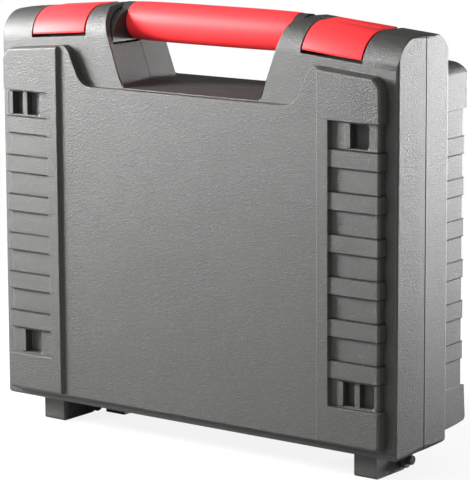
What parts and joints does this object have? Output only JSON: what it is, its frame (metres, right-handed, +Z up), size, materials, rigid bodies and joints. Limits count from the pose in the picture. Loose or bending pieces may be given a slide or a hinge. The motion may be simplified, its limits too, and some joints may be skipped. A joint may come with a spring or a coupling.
{
  "type": "hard tool case",
  "caption": "Moulded hard case with ribbed sides, a through hand opening under a round grip, over-shoulder latches and hinge lugs that serve as feet.",
  "frame": {"origin": "centre of the case's footprint, on the ground under its feet", "axes": "+X to the right seen from the front, -Y out of the front panel, +Z up towards the handle"},
  "size_m": [0.3898, 0.1206, 0.3515],
  "materials": {
    "case_plastic": "fine moulded grain, satin",
    "core_plastic": "smooth, half gloss",
    "red_plastic": "smooth, half gloss",
    "steel": "drawn",
    "pin_plastic": "smooth"
  },
  "bodies": {
    "base": {"back_shell": "case_plastic", "handle_core": "core_plastic", "handle_grip": "red_plastic", "handle_screws": "steel", "hinge_pin_left": "pin_plastic", "hinge_pin_right": "pin_plastic"},
    "lid": {"front_shell": "case_plastic", "latch_pin_left": "steel", "latch_pin_right": "steel"},
    "latch_left": {"latch_left": "red_plastic"},
    "latch_right": {"latch_right": "red_plastic"}
  },
  "joints": [
    {"name": "lid_hinge", "type": "hinge", "parent": "base", "child": "lid", "pos_m": [0, 0, 0.0095], "axis": [1, 0, 0], "range_deg": [0, 180]},
    {"name": "latch_left_hinge", "type": "hinge", "parent": "lid", "child": "latch_left", "pos_m": [-0.1341, -0.0449, 0.32866], "axis": [0.9962, 0, 0.0872], "range_deg": [0, 100]},
    {"name": "latch_right_hinge", "type": "hinge", "parent": "lid", "child": "latch_right", "pos_m": [0.1341, -0.0449, 0.32866], "axis": [0.9962, 0, -0.0872], "range_deg": [0, 100]}
  ]
}
